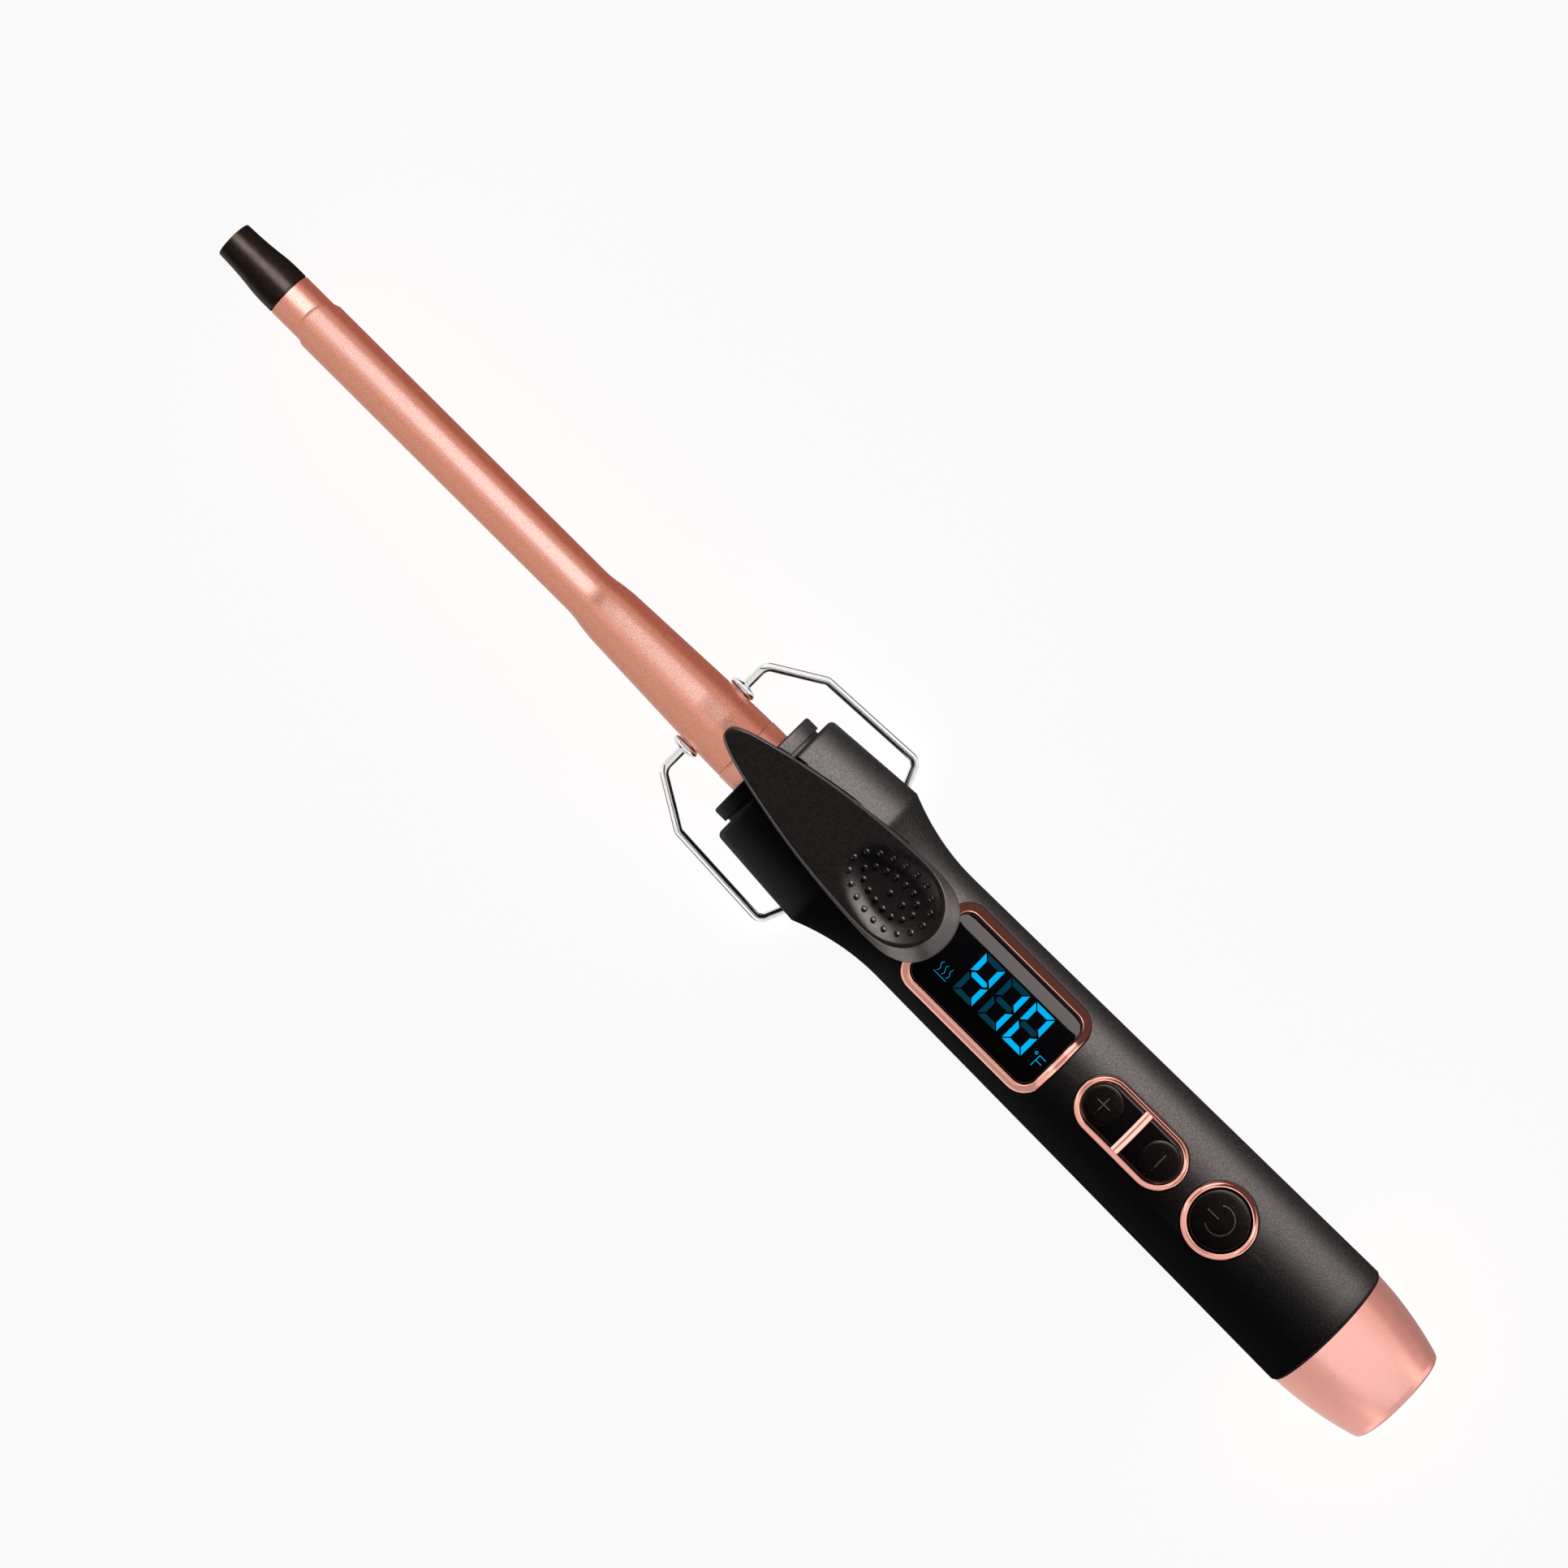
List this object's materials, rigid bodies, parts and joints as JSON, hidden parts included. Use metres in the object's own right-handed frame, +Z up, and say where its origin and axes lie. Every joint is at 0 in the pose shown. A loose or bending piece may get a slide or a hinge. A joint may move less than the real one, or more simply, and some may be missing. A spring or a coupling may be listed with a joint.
{
  "type": "curling iron",
  "caption": "Slim curling iron with a spring clamp and thumb lever, folding wire stand, round handle with display and push buttons, and a swivelling cord inlet.",
  "frame": {"origin": "middle of the bounding box in plan, at the height of the folded stand's foot, which is the lowest point", "axes": "+X along the barrel's axis towards the cord end, +Z up through the display and the lever, +Y towards the digits' top edge as the display is read with +X to the right"},
  "size_m": [0.3164, 0.0454, 0.0512],
  "materials": {
    "tip_plastic": "satin heat-proof plastic",
    "copper": "satin rose-gold plating",
    "heater_ceramic": "matt",
    "steel": "plain",
    "aluminium": "plain",
    "bead": "glazed",
    "wire_sleeve": "silicone",
    "wire_yellow": "silicone",
    "wire_red": "silicone",
    "chrome": "polished",
    "lever_plastic": "fine grain",
    "soft_black": "soft-touch paint, fine grain",
    "gloss_black": "gloss",
    "key_black": "satin",
    "bezel_copper": "gloss rose-gold plating",
    "cap_copper": "satin rose-gold",
    "window_black": "clear smoked",
    "lcd": "segment panel",
    "phenolic": "plain",
    "board_green": "solder mask",
    "part_black": "moulded",
    "film_yellow": "dipped",
    "brass": "plain"
  },
  "bodies": {
    "handle": {"cool_tip": "tip_plastic", "barrel_tube": "copper", "barrel_base": "copper", "heater_plate": "heater_ceramic", "spreader_upper": "aluminium", "spreader_lower": "aluminium", "thermistor": "bead", "heater_leads": "wire_sleeve", "thermistor_leads": "wire_yellow", "pivot_eyelets": "chrome", "clamp_spring": "steel", "collar": "soft_black", "barrel_holder": "phenolic", "upper_shell": "soft_black", "lower_shell": "soft_black", "shell_screws": "steel", "display_bezel": "bezel_copper", "display_window": "window_black", "display_module": "lcd", "button_bezel": "bezel_copper", "button_panel": "gloss_black", "power_ring": "bezel_copper", "tact_switches": "part_black", "circuit_board": "board_green", "board_screws": "steel", "control_chip": "part_black", "triac": "part_black", "film_capacitor": "film_yellow", "thermal_fuse": "steel", "mains_wires": "wire_red", "brush_holder": "phenolic", "brush_contacts": "brass", "end_cap": "cap_copper"},
    "clamp": {"clamp": "copper", "lever_arm": "steel", "arm_rivets": "steel", "lever": "lever_plastic", "lever_screws": "steel"},
    "stand": {"stand_wire": "chrome"},
    "plus_button": {"plus_button": "key_black"},
    "minus_button": {"minus_button": "key_black"},
    "power_button": {"power_button": "key_black"},
    "swivel": {"swivel_gland": "key_black", "contact_rings": "brass"}
  },
  "joints": [
    {"name": "clamp_hinge", "type": "hinge", "parent": "handle", "child": "clamp", "pos_m": [-0.02745, 0, 0.01935], "axis": [0, 1, 0], "range_deg": [0, 12], "stiffness_Nm_per_rad": 0.9, "springref_deg": -12.03, "deforming": ["clamp_spring"]},
    {"name": "stand_hinge", "type": "hinge", "parent": "handle", "child": "stand", "pos_m": [-0.02745, 0, 0.01935], "axis": [0, 1, 0], "range_deg": [0, 90]},
    {"name": "plus_press", "type": "slide", "parent": "handle", "child": "plus_button", "axis": [0, 0, -1], "range_m": [0, 0.0006], "stiffness_N_per_m": 1500, "springref_m": -0.0002},
    {"name": "minus_press", "type": "slide", "parent": "handle", "child": "minus_button", "axis": [0, 0, -1], "range_m": [0, 0.0006], "stiffness_N_per_m": 1500, "springref_m": -0.0002},
    {"name": "power_press", "type": "slide", "parent": "handle", "child": "power_button", "axis": [0, 0, -1], "range_m": [0, 0.0006], "stiffness_N_per_m": 1500, "springref_m": -0.0002},
    {"name": "swivel_spin", "type": "hinge", "parent": "handle", "child": "swivel", "pos_m": [0.15125, 0, 0.01935], "axis": [1, 0, 0], "continuous": true}
  ]
}
